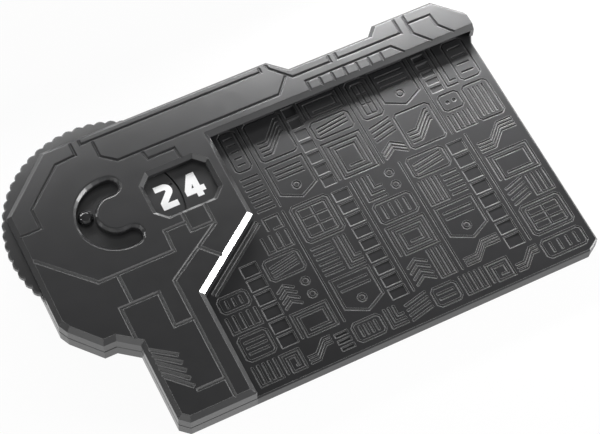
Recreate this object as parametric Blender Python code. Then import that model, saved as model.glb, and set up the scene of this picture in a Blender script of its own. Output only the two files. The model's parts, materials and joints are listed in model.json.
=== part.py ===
"""Damage counter pad: a card tray with a raised dial housing and a hold-down rail.

Frame: +Z up, origin under the middle of the whole outline on the table, rail along +X at the
back, dials at the back left. All lengths are in metres and all angles in degrees.
"""
import math

import bmesh
import bpy
from mathutils import Matrix, Vector

# Overall sizes
OVERALL_LENGTH = 0.2004
OVERALL_WIDTH = 0.1288
TRAY_HEIGHT = 0.0055
HOUSING_TOP = 0.0120
SEAM_GAP = 0.0003
EDGE_CHAMFER = 0.0018
TRAY_CHAMFER = 0.0005
OVERRUN = 0.0010

# Outline of the dial housing and its leg
HOUSING_LEFT_INSET = 0.0052
HOUSING_BACK_INSET = 0.0062
RIM_WALL = 0.0030
CORNER_RUN = 0.0220
CORNER_DROP = 0.0203
KNEE_RUN = 0.0018
KNEE_DROP = 0.0037
HIP_RUN = 0.0094
HIP_DROP = 0.0107
HIP_LEAD = 0.0047
WAIST_STEP = 0.0048
LEG_TOP_RUN = 0.0071
LEG_TOP_DROP = 0.0055
LEG_WIDTH = 0.0291
LEG_CHAMFER_RUN = 0.0034
LEG_CHAMFER_RISE = 0.0031
BROW_WALL = 0.0020
BROW_ANGLE = -53.6

# Outline of the rail
RAIL_FRONT_DEPTH = 0.0208
NOTCH_START = 0.0798
NOTCH_DEPTH = 0.0063
NOTCH_RAMP = 0.0066
NOTCH_LENGTH = 0.0343
RAIL_END_RISE = 0.0038
RAIL_END_RAMP = 0.0035
RAIL_END_CHAMFER = 0.0097

# Pad of the tray
PAD_SIDE_INSET = 0.0018
PAD_FLARE_START = 0.0023
PAD_FLARE_LENGTH = 0.0035
PAD_CORNER = 0.0047
PAD_CORNER_RISE = 0.0030

# Card slot under the rail
SLOT_HEIGHT = 0.0044
SLOT_DEPTH = 0.0077
SLOT_END_WALL = 0.0016

# Dials
WHEEL_RADIUS = 0.0421
WHEEL_THICKNESS = 0.0024
WHEEL_CLEARANCE = 0.0004
WHEEL_EDGE = 0.0006
SCALLOPS = 60
SCALLOP_DEPTH = 0.0009
SCALLOP_POINTS = 4
DISC_RADIUS = 0.0253
DISC_THICKNESS = 0.0009
DISC_CLEARANCE = 0.0007
HUB_RADIUS = 0.0045
HUB_CLEARANCE = 0.00035
UNITS_ROUND = 10
TENS_ROUND = 9

# Dial window
WINDOW_WALL = 0.0064
WINDOW_LENGTH = 0.0252
WINDOW_WIDTH = 0.0188
WINDOW_CORNER = 0.0036
WINDOW_CHAMFER = 0.0015

# Finger slot and peg
FINGER_RADIUS = 0.01125
FINGER_SLOT_WIDTH = 0.0068
FINGER_RIM = 0.0015
FINGER_SLOT_FROM = 80.0
FINGER_SLOT_TO = 280.0
FINGER_REST_ANGLE = 160.0
PEG_RADIUS = 0.0030
PEG_SIDE_HEIGHT = 0.0008
PEG_DOME_HEIGHT = 0.0024
PEG_STEM_RADIUS = 0.0010
PEG_FIT = 0.0003

# Click springs and their dimples
SPRING_THICKNESS = 0.0004
SPRING_WIDTH = 0.0040
SPRING_LENGTH = 0.0150
SPRING_CLEARANCE = 0.0003
SPRING_BUMP = 0.0008
SPRING_BUMP_LENGTH = 0.0026
SPRING_BUMP_INSET = 0.0030
UNITS_CLICK_RADIUS = 0.0340
UNITS_CLICK_ANGLE = 250.0
TENS_CLICK_RADIUS = 0.0241
TENS_CLICK_ANGLE = 180.0
DIMPLE_RADIUS = 0.0007
DIMPLE_DEPTH = 0.0004
SPRING_SCREW_RADIUS = 0.0008
SPRING_SCREW_HEAD = 0.0016
SPRING_SCREW_HEAD_HEIGHT = 0.0005
SPRING_SCREW_LENGTH = 0.0022
SPRING_SCREW_INSET = 0.0025

# Housing screws
SCREW_RADIUS = 0.0013
SCREW_HEAD_RADIUS = 0.0024
SCREW_HEAD_HEIGHT = 0.0015
SCREW_SINK = 0.0006
SCREW_REACH = 0.0034
SCREW_CLEARANCE = 0.0003
CROSS_LENGTH = 0.0028
CROSS_WIDTH = 0.0007
CROSS_DEPTH = 0.0008
LEG_SCREW_RISE = 0.0060
LEG_SCREW_INSET = 0.0145
END_SCREW_INSET = 0.0160
RIM_SCREW_STANDOFF = 0.0070
LEG_SCREW_ANGLE = 280.0
SIDE_SCREW_ANGLE = 241.0
RAIL_SCREW_ANGLE = 34.0
RAIL_SCREW_SHARES = (0.29, 0.61, 1.0)

# Ribs under the pad
RIB_THICKNESS = 0.0016
PAD_FLOOR = 0.0024
POCKET_COLUMNS = 8
POCKET_ROWS = 5
POCKET_BORDER = 0.0035

# Panel lines on the housing
GROOVE_WIDTH = 0.0014
GROOVE_DEPTH = 0.0005
GROOVE_SLOPE = 0.0006
LADDER_TICKS = 6
LOUVRE_BARS = 5
LOUVRE_WIDTH = 0.0016

# Relief on the pad
RELIEF_DEPTH = 0.0004
RELIEF_SLOPE = 0.0003
RELIEF_LINE = 0.0009
RELIEF_WEB = 0.0011
RELIEF_ROOT = 0.0004
RELIEF_BORDER = 0.0030
RELIEF_CORNER = 0.0016
RING_RADIUS = 0.0019

# Counts of facets
ROUND_STEPS = 60
BORE_STEPS = 26
SMALL_STEPS = 12
RING_STEPS = 8
PEG_STEPS = 16
SCREW_STEPS = 10
ARC_STEPS = 18
RIM_STEPS = 4
DOME_STEPS = 4

# Places worked out from the sizes
RIGHT = OVERALL_LENGTH / 2
LEFT = -RIGHT
BACK = OVERALL_WIDTH / 2
FRONT = -BACK
DIAL_X = LEFT + WHEEL_RADIUS
DIAL_Y = BACK - WHEEL_RADIUS
HOUSING_BOTTOM = TRAY_HEIGHT + SEAM_GAP
HOUSING_LEFT = LEFT + HOUSING_LEFT_INSET
HOUSING_BACK = BACK - HOUSING_BACK_INSET
HOUSING_RIGHT = DIAL_X + WHEEL_RADIUS + RIM_WALL
RAIL_FRONT = HOUSING_BACK - RAIL_FRONT_DEPTH
PAD_RIGHT = RIGHT - PAD_SIDE_INSET
WHEEL_BOTTOM = TRAY_HEIGHT + WHEEL_CLEARANCE
WHEEL_TOP = WHEEL_BOTTOM + WHEEL_THICKNESS
WHEEL_ROOF = WHEEL_TOP + WHEEL_CLEARANCE
DISC_BOTTOM = WHEEL_TOP - DISC_THICKNESS
NOTCH_X = RIGHT - NOTCH_START
NOTCH_BACK = HOUSING_BACK - NOTCH_DEPTH
RAIL_END_BACK = NOTCH_BACK + RAIL_END_RISE
RAIL_END_X = NOTCH_X + NOTCH_RAMP + NOTCH_LENGTH
SLOT_TOP = TRAY_HEIGHT + SLOT_HEIGHT
SLOT_BACK = RAIL_FRONT + SLOT_DEPTH
HIP_X = HOUSING_LEFT + KNEE_RUN + HIP_RUN
HIP_Y = DIAL_Y - WHEEL_RADIUS - HIP_LEAD
KNEE_TOP = HIP_Y + HIP_DROP + KNEE_DROP
LEG_LEFT = HIP_X + WAIST_STEP + LEG_TOP_RUN
LEG_RIGHT = LEG_LEFT + LEG_WIDTH
BROW_REACH = WHEEL_RADIUS + BROW_WALL
BROW_TURN = math.radians(BROW_ANGLE)
BROW_SLOPE = math.cos(BROW_TURN) / math.sin(BROW_TURN)
LEG_INNER_TOP = DIAL_Y + BROW_REACH / math.sin(BROW_TURN) - (LEG_RIGHT - DIAL_X) * BROW_SLOPE
BROW_TOP = DIAL_Y + BROW_REACH / math.sin(BROW_TURN) - (HOUSING_RIGHT - DIAL_X) * BROW_SLOPE


def clear_scene():
    for item in list(bpy.data.objects):
        bpy.data.objects.remove(item, do_unlink=True)


def plastic(name, colour, roughness, metallic=0.0):
    finish = bpy.data.materials.new(name)
    finish.use_nodes = True
    shader = finish.node_tree.nodes["Principled BSDF"]
    shader.inputs["Base Color"].default_value = (*colour, 1.0)
    shader.inputs["Roughness"].default_value = roughness
    shader.inputs["Metallic"].default_value = metallic
    return finish


def signed_area(points):
    pairs = zip(points, points[1:] + points[:1])
    return sum(a[0] * b[1] - b[0] * a[1] for a, b in pairs) / 2


def counter_clockwise(points):
    return points if signed_area(points) > 0 else points[::-1]


def line_crossing(start, along, other, other_along):
    """Point where two lines meet, or the other line's start where they run parallel."""
    cross = along.x * other_along.y - along.y * other_along.x
    if abs(cross) < 1e-9 * along.length * other_along.length:
        return other
    gap = other - start
    return start + along * ((gap.x * other_along.y - gap.y * other_along.x) / cross)


def offset_outline(points, distance):
    """Mitred outline, moved outwards by the distance, or inwards where it is negative."""
    ring = [Vector(point) for point in counter_clockwise(points)]
    moved = []
    for index, corner in enumerate(ring):
        before = corner - ring[index - 1]
        after = ring[(index + 1) % len(ring)] - corner
        shift_before = Vector((before.y, -before.x)).normalized() * distance
        shift_after = Vector((after.y, -after.x)).normalized() * distance
        moved.append(line_crossing(corner + shift_before, before, corner + shift_after, after))
    return [tuple(point) for point in moved]


def ribbon(points, width):
    """Outline of a line of constant width along open points, with mitred turns."""
    path = [Vector(point) for point in points]
    sides = ([], [])
    for index, point in enumerate(path):
        before = path[index] - path[index - 1] if index else path[1] - path[0]
        after = path[index + 1] - point if index + 1 < len(path) else before
        for side, sign in zip(sides, (1, -1)):
            first = Vector((before.y, -before.x)).normalized() * width / 2 * sign
            second = Vector((after.y, -after.x)).normalized() * width / 2 * sign
            side.append(tuple(line_crossing(point + first, before, point + second, after)))
    return counter_clockwise(sides[0] + sides[1][::-1])


def circle(centre, radius, steps=SMALL_STEPS, turn=0.0):
    angles = [math.radians(turn) + math.tau * step / steps for step in range(steps)]
    return [(centre[0] + radius * math.cos(a), centre[1] + radius * math.sin(a)) for a in angles]


def polar(radius, angle, centre=(DIAL_X, DIAL_Y)):
    turn = math.radians(angle)
    return (centre[0] + radius * math.cos(turn), centre[1] + radius * math.sin(turn))


def add_stack(shape, rings):
    """Closed solid through level rings, given as outline and height; returns its top face."""
    loops = [[shape.verts.new((x, y, z)) for x, y in outline] for outline, z in rings]
    for lower, upper in zip(loops, loops[1:]):
        for index in range(len(lower)):
            nxt = (index + 1) % len(lower)
            shape.faces.new((lower[index], lower[nxt], upper[nxt], upper[index]))
    shape.faces.new(loops[0][::-1])
    return shape.faces.new(loops[-1])


def finish_object(name, shape, material=None):
    data = bpy.data.meshes.new(name)
    shape.to_mesh(data)
    shape.free()
    item = bpy.data.objects.new(name, data)
    bpy.context.collection.objects.link(item)
    if material:
        data.materials.append(material)
        data.shade_smooth()
        data.set_sharp_from_angle(angle=math.radians(30))
    else:
        item.hide_render = True
        item.display_type = "WIRE"
    return item


def stack(name, rings, material=None):
    shape = bmesh.new()
    add_stack(shape, [(counter_clockwise(list(outline)), z) for outline, z in rings])
    return finish_object(name, shape, material)


def prisms(name, outlines, bottom, top, material=None):
    """Separate upright prisms in one object, one for each outline."""
    shape = bmesh.new()
    for outline in outlines:
        ring = counter_clockwise(list(outline))
        add_stack(shape, [(ring, bottom), (ring, top)])
    return finish_object(name, shape, material)


def sloped_prisms(name, outlines, profile):
    """Separate prisms, each with its outline moved in by the profile's inset at each height."""
    shape = bmesh.new()
    for outline in outlines:
        add_stack(shape, [(offset_outline(outline, -inset), height) for inset, height in profile])
    return finish_object(name, shape)


def boolean(target, tool, operation="DIFFERENCE", crossing=False):
    """Adds the tool to the target or takes it away; crossing allows parts of it to overlap."""
    step = target.modifiers.new(tool.name, "BOOLEAN")
    step.operation = operation
    step.solver = "EXACT"
    step.use_self = crossing
    step.object = tool
    return target


def housing_outline():
    """Outer edge of the dial housing with its leg and the rail, from the back left corner."""
    return [
        (HOUSING_LEFT + CORNER_RUN, HOUSING_BACK),
        (HOUSING_LEFT, HOUSING_BACK - CORNER_DROP),
        (HOUSING_LEFT, KNEE_TOP),
        (HOUSING_LEFT + KNEE_RUN, KNEE_TOP - KNEE_DROP),
        (HIP_X, HIP_Y),
        (HIP_X + WAIST_STEP, HIP_Y),
        (LEG_LEFT, HIP_Y - LEG_TOP_DROP),
        (LEG_LEFT, FRONT + LEG_CHAMFER_RISE),
        (LEG_LEFT + LEG_CHAMFER_RUN, FRONT),
        (LEG_RIGHT, FRONT),
        (LEG_RIGHT, LEG_INNER_TOP),
        (HOUSING_RIGHT, BROW_TOP),
        (HOUSING_RIGHT, RAIL_FRONT),
        (RIGHT, RAIL_FRONT),
        (RIGHT, RAIL_END_BACK - RAIL_END_CHAMFER),
        (RIGHT - RAIL_END_CHAMFER, RAIL_END_BACK),
        (RAIL_END_X + RAIL_END_RAMP, RAIL_END_BACK),
        (RAIL_END_X, NOTCH_BACK),
        (NOTCH_X + NOTCH_RAMP, NOTCH_BACK),
        (NOTCH_X, HOUSING_BACK),
    ]


def tray_outline():
    """Outer edge of the tray: the housing's edge, with the pad in place of the rail's front."""
    corner = housing_outline()
    pad = [
        (PAD_RIGHT - PAD_CORNER, FRONT),
        (PAD_RIGHT, FRONT + PAD_CORNER_RISE),
        (PAD_RIGHT, RAIL_FRONT - PAD_FLARE_START),
        (RIGHT, RAIL_FRONT - PAD_FLARE_START + PAD_FLARE_LENGTH),
    ]
    return corner[:9] + pad + corner[14:]


def window_outline(margin):
    """Eight-cornered dial window, grown by a margin on every side."""
    right = HOUSING_RIGHT - WINDOW_WALL
    left = right - WINDOW_LENGTH
    low = DIAL_Y - WINDOW_WIDTH / 2
    high = DIAL_Y + WINDOW_WIDTH / 2
    return offset_outline(chamfered_rect(left, low, right, high, WINDOW_CORNER), margin)


def chamfered_rect(left, low, right, high, corner):
    return [
        (left + corner, low),
        (right - corner, low),
        (right, low + corner),
        (right, high - corner),
        (right - corner, high),
        (left + corner, high),
        (left, high - corner),
        (left, low + corner),
    ]


def rect(left, low, right, high):
    return [(left, low), (right, low), (right, high), (left, high)]


def finger_slot_outline(half_width):
    """Round-ended slot that follows an arc about the dial's centre."""
    span = FINGER_SLOT_TO - FINGER_SLOT_FROM
    outer = [
        polar(FINGER_RADIUS + half_width, FINGER_SLOT_FROM + span * step / ARC_STEPS)
        for step in range(ARC_STEPS + 1)
    ]
    inner = [
        polar(FINGER_RADIUS - half_width, FINGER_SLOT_TO - span * step / ARC_STEPS)
        for step in range(ARC_STEPS + 1)
    ]
    last = polar(FINGER_RADIUS, FINGER_SLOT_TO)
    first = polar(FINGER_RADIUS, FINGER_SLOT_FROM)
    turns = [180 * step / RING_STEPS for step in range(1, RING_STEPS)]
    end = [polar(half_width, FINGER_SLOT_TO + turn, last) for turn in turns]
    start = [polar(half_width, FINGER_SLOT_FROM + 180 + turn, first) for turn in turns]
    return outer + end + inner + start


def finger_slot_cutter():
    """Slot through the roof, widened by a quarter-round rim at its top edge."""
    half = FINGER_SLOT_WIDTH / 2
    rings = [(finger_slot_outline(half), WHEEL_ROOF - OVERRUN)]
    for step in range(RIM_STEPS + 1):
        turn = math.pi / 2 * step / RIM_STEPS
        grown = half + FINGER_RIM * (1 - math.cos(turn))
        rings.append((finger_slot_outline(grown), HOUSING_TOP - FINGER_RIM * (1 - math.sin(turn))))
    rings.append((finger_slot_outline(half + FINGER_RIM), HOUSING_TOP + OVERRUN))
    return stack("finger_slot_cutter", rings)


def window_cutter():
    rings = [
        (window_outline(0), WHEEL_ROOF - OVERRUN),
        (window_outline(0), HOUSING_TOP - WINDOW_CHAMFER),
        (window_outline(WINDOW_CHAMFER), HOUSING_TOP),
        (window_outline(WINDOW_CHAMFER), HOUSING_TOP + OVERRUN),
    ]
    return stack("window_cutter", rings)


def screw_places():
    """Name and place of each housing screw: round the wheel, on the leg, and along the rail."""
    reach = WHEEL_RADIUS + RIM_SCREW_STANDOFF
    rail_left = polar(reach, RAIL_SCREW_ANGLE)
    rail_length = RIGHT - END_SCREW_INSET - rail_left[0]
    middle, notch, end = [
        (rail_left[0] + rail_length * share, (SLOT_BACK + NOTCH_BACK) / 2) for share in RAIL_SCREW_SHARES
    ]
    return [
        ("leg_screw_front", (LEG_LEFT + LEG_SCREW_INSET, FRONT + LEG_SCREW_RISE)),
        ("leg_screw_back", polar(reach, LEG_SCREW_ANGLE)),
        ("side_screw", polar(reach, SIDE_SCREW_ANGLE)),
        ("rail_screw_left", rail_left),
        ("rail_screw_middle", middle),
        ("rail_screw_notch", notch),
        ("rail_screw_right", end),
        ("hub_screw", (DIAL_X, DIAL_Y)),
    ]


# Paths of the housing's panel lines, as shares of the zone that each one lies in
RAIL_LINE_SHARES = (
    ((0.17, 1.05), (0.17, 0.65), (0.127, 0.62), (0.049, -0.04), (0.049, -0.45), (-0.01, -0.45)),
    ((0.188, 1.05), (0.188, 0.81), (0.57, 0.81), (0.57, 1.05)),
    ((0.211, 0.81), (0.211, 0.44), (0.238, 0.23), (0.58, 0.23), (0.611, 0.55)),
    ((0.582, 1.05), (0.587, 0.81), (0.622, 0.46), (0.705, 0.46), (0.705, 0.80)),
    ((0.72, 0.80), (0.72, 0.46), (0.861, 0.46), (0.861, 1.05)),
    ((0.882, 1.05), (0.882, 0.36), (0.918, -0.05)),
    ((0.882, 0.59), (0.932, 0.59), (0.935, 0.33), (0.967, -0.05)),
    ((0.641, -0.05), (0.641, 0.28), (0.828, 0.28), (0.856, -0.05)),
)
BODY_LINE_SHARES = (
    ((0.683, 1.08), (0.693, 1.01), (0.824, 1.01), (0.830, 0.92)),
    ((0.713, 0.62), (0.713, 0.42), (0.824, 0.42), (0.824, 0.62)),
    ((0.711, 0.49), (0.606, 0.49), (0.602, 0.34), (0.238, 0.34), (0.022, 0.65)),
    ((0.830, 0.41), (0.541, 0.15), (0.541, -0.10)),
    ((0.707, 0.30), (0.790, 0.17)),
    ((0.329, 0.34), (0.329, 0.13)),
)
LEG_LINE_SHARES = (
    ((0.735, 1.12), (0.735, -0.05)),
    ((-0.027, 0.85), (-0.027, 1.16), (0.485, 1.16), (0.474, 0.82), (0.735, 0.82)),
    ((0.351, 0.22), (0.735, 0.22)),
)
LOUVRE_SHARES = ((0.04, 0.72), (0.35, 0.57), (0.04, 0.47), (0.35, 0.26))
LADDER_SHARES = (0.641, 0.828, 0.28)


def place(zone, share):
    """Point at shares of a zone's width and depth."""
    left, low, right, high = zone
    return (left + (right - left) * share[0], low + (high - low) * share[1])


def panel_line_cutters():
    """Every groove of the housing's top, as a list of separate cutters."""
    rail = (HOUSING_LEFT, RAIL_FRONT, RIGHT, HOUSING_BACK)
    body = (HOUSING_LEFT, LEG_INNER_TOP, HOUSING_RIGHT, RAIL_FRONT)
    leg = (LEG_LEFT, FRONT, LEG_RIGHT, LEG_INNER_TOP)
    outlines = []
    for zone, lines in ((rail, RAIL_LINE_SHARES), (body, BODY_LINE_SHARES), (leg, LEG_LINE_SHARES)):
        for line in lines:
            outlines.append(ribbon([place(zone, share) for share in line], GROOVE_WIDTH))
    outlines += ladder_ticks(rail) + louvres(leg)
    profile = [
        (GROOVE_SLOPE, HOUSING_TOP - GROOVE_DEPTH),
        (0, HOUSING_TOP),
        (0, HOUSING_TOP + OVERRUN),
    ]
    return [
        sloped_prisms(f"panel_line_{index + 1}", [outline], profile)
        for index, outline in enumerate(outlines)
    ]


def ladder_ticks(rail):
    """Short cross lines between the rail's front edge and the ladder's long line."""
    start, end, height = LADDER_SHARES
    ticks = []
    for index in range(1, LADDER_TICKS + 1):
        across = start + (end - start) * index / (LADDER_TICKS + 1)
        ends = [place(rail, (across, -height)), place(rail, (across, height))]
        ticks.append(ribbon(ends, GROOVE_WIDTH))
    return ticks


def louvres(leg):
    """Slanted vent lines on the leg, spread between its first line and its last."""
    first_left, first_right, last_left, last_right = LOUVRE_SHARES
    lines = []
    for index in range(LOUVRE_BARS):
        share = index / (LOUVRE_BARS - 1)
        left = place(leg, [a + (b - a) * share for a, b in zip(first_left, last_left)])
        right = place(leg, [a + (b - a) * share for a, b in zip(first_right, last_right)])
        lines.append(ribbon([left, right], LOUVRE_WIDTH))
    return lines


class Relief:
    """Outlines of the pad's relief: cuts, islands left in them, and the same again inside those."""

    def __init__(self):
        self.cuts = ([], [])
        self.islands = ([], [])

    def line_box(self, level, box, corner=RELIEF_CORNER):
        """Line all round a box; returns the box inside it."""
        inner = (box[0] + RELIEF_LINE, box[1] + RELIEF_LINE, box[2] - RELIEF_LINE, box[3] - RELIEF_LINE)
        self.cuts[level].append(chamfered_rect(*box, corner))
        self.islands[level].append(rect(*inner) if level else chamfered_rect(*inner, corner / 2))
        return tuple(v + s * RELIEF_WEB for v, s in zip(inner, (1, 1, -1, -1)))

    def ring(self, level, centre, radius):
        turn = 180 / RING_STEPS
        self.cuts[level].append(circle(centre, radius, RING_STEPS, turn))
        self.islands[level].append(circle(centre, radius - RELIEF_LINE, RING_STEPS, turn))

    def bars(self, level, box, count, along, slant=0.0):
        """Side-by-side lines across a box, stacked along one of its sides."""
        left, low, right, high = box
        length = (high - low) if along == "y" else (right - left)
        pitch = length / count
        half = min(RELIEF_LINE, pitch / 2) / 2
        for index in range(count):
            middle = pitch * (index + 1 / 2)
            lean = slant * pitch
            if along == "y":
                path = [(left, low + middle - lean / 2), (right, low + middle + lean / 2)]
            else:
                path = [(left + middle - lean / 2, low), (left + middle + lean / 2, high)]
            self.cuts[level].append(ribbon(path, 2 * half))

    def rungs(self, level, box, count):
        """Ladder: square sunk fields in one column."""
        left, low, right, high = box
        pitch = (high - low) / count
        for index in range(count):
            base = low + pitch * index
            self.cuts[level].append(rect(left, base, right, base + pitch - RELIEF_WEB))

    def keys(self, level, box, columns, rows):
        """Small raised blocks standing in one sunk field."""
        left, low, right, high = box
        self.cuts[level].append(chamfered_rect(*box, RELIEF_CORNER / 2))
        wide = (right - left - RELIEF_LINE) / columns
        tall = (high - low - RELIEF_LINE) / rows
        for column in range(columns):
            for row in range(rows):
                x = left + RELIEF_LINE + wide * column
                y = low + RELIEF_LINE + tall * row
                self.islands[level].append(rect(x, y, x + wide - RELIEF_LINE, y + tall - RELIEF_LINE))

    def comb(self, level, box, count):
        """Spine with teeth, as one line."""
        left, low, right, high = box
        pitch = (right - left - RELIEF_LINE) / (count - 1)
        outline = [(left, low), (right, low), (right, high)]
        for index in range(count - 1):
            x = right - pitch * index
            outline += [
                (x - RELIEF_LINE, high),
                (x - RELIEF_LINE, low + RELIEF_LINE),
                (x - pitch, low + RELIEF_LINE),
                (x - pitch, high),
            ]
        outline.append((left, high))
        self.cuts[level].append(outline)

    def stairs(self, level, box, count):
        """Parallel lines that jog over by half the box."""
        left, low, right, high = box
        pitch = (high - low) / (2 * count)
        jog = (high - low) / 2
        width = min(RELIEF_LINE, pitch / 2)
        for index in range(count):
            y = low + pitch * (index + 1 / 2)
            x = left + (right - left) / 3
            path = [(left, y), (x, y), (min(x + jog, right - RELIEF_WEB), y + jog), (right, y + jog)]
            self.cuts[level].append(ribbon(path, width))

    def chevrons(self, level, box, count):
        left, low, right, high = box
        middle = (left + right) / 2
        rise = (right - left) / 3
        pitch = (high - low - rise) / count
        for index in range(count):
            y = low + pitch * (index + 1 / 2)
            self.cuts[level].append(ribbon([(left, y), (middle, y + rise), (right, y)], RELIEF_LINE))

    def hooks(self, level, box, count):
        """Nested corner lines."""
        left, low, right, high = box
        pitch = min(right - left, high - low) / (count + 1 / 2)
        for index in range(count):
            shift = pitch * index + RELIEF_LINE / 2
            path = [(left + shift, high), (left + shift, low + shift), (right, low + shift)]
            self.cuts[level].append(ribbon(path, RELIEF_LINE))

    def maze(self, level, box, count):
        """Squared spiral with as many of the wanted turns as the box has room for."""
        half = RELIEF_LINE / 2
        left, low, right, high = box[0] + half, box[1] + half, box[2] - half, box[3] - half
        pitch = RELIEF_LINE + RELIEF_WEB
        room = int((min(right - left, high - low) + RELIEF_WEB) / (2 * pitch))
        path = [(left, low)]
        for turn in range(max(1, min(count, room))):
            shift = pitch * turn
            path += [
                (left + shift, high - shift),
                (right - shift, high - shift),
                (right - shift, low + shift),
                (left + shift + pitch, low + shift),
            ]
        self.cuts[level].append(ribbon(path, RELIEF_LINE))

    def bolts(self, level, box, count):
        """Row of round sunk spots along the box's longer side."""
        left, low, right, high = box
        across = min(right - left, high - low)
        spacing = max(right - left, high - low) / count
        radius = min(RING_RADIUS, across / 2, (spacing - RELIEF_LINE) / 2)
        for index in range(count):
            share = (index + 1 / 2) / count
            if right - left > high - low:
                centre = (left + (right - left) * share, (low + high) / 2)
            else:
                centre = ((left + right) / 2, low + (high - low) * share)
            self.ring(level, centre, radius)

    def shield(self, level, box, count):
        """Framed five-sided plate with a ring and bars."""
        left, low, right, high = box
        middle = (left + right) / 2
        point = (right - left) / 4
        outline = [(left, low + point), (middle, low), (right, low + point), (right, high), (left, high)]
        self.cuts[level].append(outline)
        self.islands[level].append(offset_outline(outline, -RELIEF_LINE))
        self.ring(1, (middle, low + point + RING_RADIUS), RING_RADIUS)
        margin = 2 * RELIEF_WEB
        bars_low = low + point + 3 * RING_RADIUS
        self.bars(1, (left + margin, bars_low, right - margin, high - margin), count, "y")


def draw_motif(art, kind, box, count):
    """One field of the relief, by the name of its motif."""
    if kind.startswith("framed_"):
        inner = art.line_box(0, box)
        draw_plain(art, kind.removeprefix("framed_"), 1, inner, count)
    else:
        draw_plain(art, kind, 0, box, count)


def draw_plain(art, kind, level, box, count):
    simple = {
        "rungs": art.rungs,
        "comb": art.comb,
        "stairs": art.stairs,
        "chevrons": art.chevrons,
        "hooks": art.hooks,
        "maze": art.maze,
        "bolts": art.bolts,
        "shield": art.shield,
    }
    if kind in simple:
        simple[kind](level, box, count)
    elif kind == "keys":
        art.keys(level, box, count, count + 1)
    elif kind == "slats":
        art.bars(level, box, count, "x")
    elif kind == "steps":
        art.bars(level, box, count, "y")
    elif kind == "vents":
        art.bars(level, box, count, "y", slant=1.0)


# Fields of the relief in front of the housing and beside it: left, right, low and high shares
# of the zone, motif, and the motif's count
FRONT_RELIEF_SHARES = (
    (0.00, 0.07, 0.00, 0.14, "comb", 5),
    (0.08, 0.14, 0.00, 0.14, "maze", 2),
    (0.15, 0.23, 0.00, 0.14, "stairs", 3),
    (0.24, 0.28, 0.00, 0.14, "rungs", 3),
    (0.29, 0.38, 0.00, 0.14, "framed_slats", 4),
    (0.39, 0.44, 0.00, 0.14, "hooks", 3),
    (0.45, 0.52, 0.00, 0.14, "vents", 4),
    (0.53, 0.61, 0.00, 0.14, "framed_steps", 2),
    (0.62, 0.69, 0.00, 0.14, "comb", 5),
    (0.70, 0.77, 0.00, 0.14, "maze", 2),
    (0.78, 0.86, 0.00, 0.14, "stairs", 3),
    (0.87, 1.00, 0.00, 0.14, "framed_slats", 4),
    (0.00, 0.09, 0.17, 0.35, "framed_steps", 3),
    (0.00, 0.09, 0.37, 0.49, "comb", 5),
    (0.00, 0.09, 0.51, 0.63, "framed_slats", 3),
    (0.10, 0.15, 0.17, 0.78, "rungs", 6),
    (0.16, 0.27, 0.17, 0.35, "maze", 2),
    (0.16, 0.21, 0.37, 0.56, "chevrons", 4),
    (0.22, 0.27, 0.37, 0.56, "bolts", 2),
    (0.16, 0.27, 0.58, 0.74, "framed_vents", 3),
    (0.19, 0.27, 0.76, 0.88, "comb", 4),
    (0.22, 0.27, 0.90, 1.00, "maze", 1),
    (0.28, 0.29, 0.17, 1.00, "slats", 1),
    (0.30, 0.42, 0.17, 0.45, "shield", 2),
    (0.30, 0.36, 0.47, 0.70, "steps", 6),
    (0.37, 0.42, 0.47, 0.70, "hooks", 3),
    (0.30, 0.42, 0.72, 1.00, "framed_keys", 2),
    (0.43, 0.48, 0.17, 1.00, "rungs", 9),
    (0.49, 0.50, 0.17, 1.00, "slats", 1),
    (0.51, 0.57, 0.17, 0.38, "chevrons", 4),
    (0.58, 0.63, 0.17, 0.38, "comb", 4),
    (0.51, 0.63, 0.40, 0.62, "maze", 3),
    (0.51, 0.63, 0.64, 0.80, "framed_slats", 4),
    (0.51, 0.57, 0.82, 1.00, "hooks", 3),
    (0.58, 0.63, 0.82, 1.00, "bolts", 2),
    (0.64, 0.65, 0.17, 1.00, "slats", 1),
    (0.66, 0.78, 0.17, 0.31, "stairs", 4),
    (0.66, 0.78, 0.33, 0.61, "shield", 2),
    (0.66, 0.72, 0.63, 0.82, "comb", 5),
    (0.73, 0.78, 0.63, 0.82, "steps", 5),
    (0.66, 0.78, 0.84, 1.00, "framed_vents", 3),
    (0.79, 0.84, 0.17, 1.00, "rungs", 8),
    (0.85, 0.86, 0.17, 1.00, "slats", 1),
    (0.87, 1.00, 0.17, 0.40, "framed_keys", 2),
    (0.87, 0.93, 0.42, 0.58, "vents", 4),
    (0.94, 1.00, 0.42, 0.58, "comb", 4),
    (0.87, 1.00, 0.60, 0.80, "maze", 2),
    (0.87, 1.00, 0.82, 1.00, "stairs", 4),
)
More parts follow.
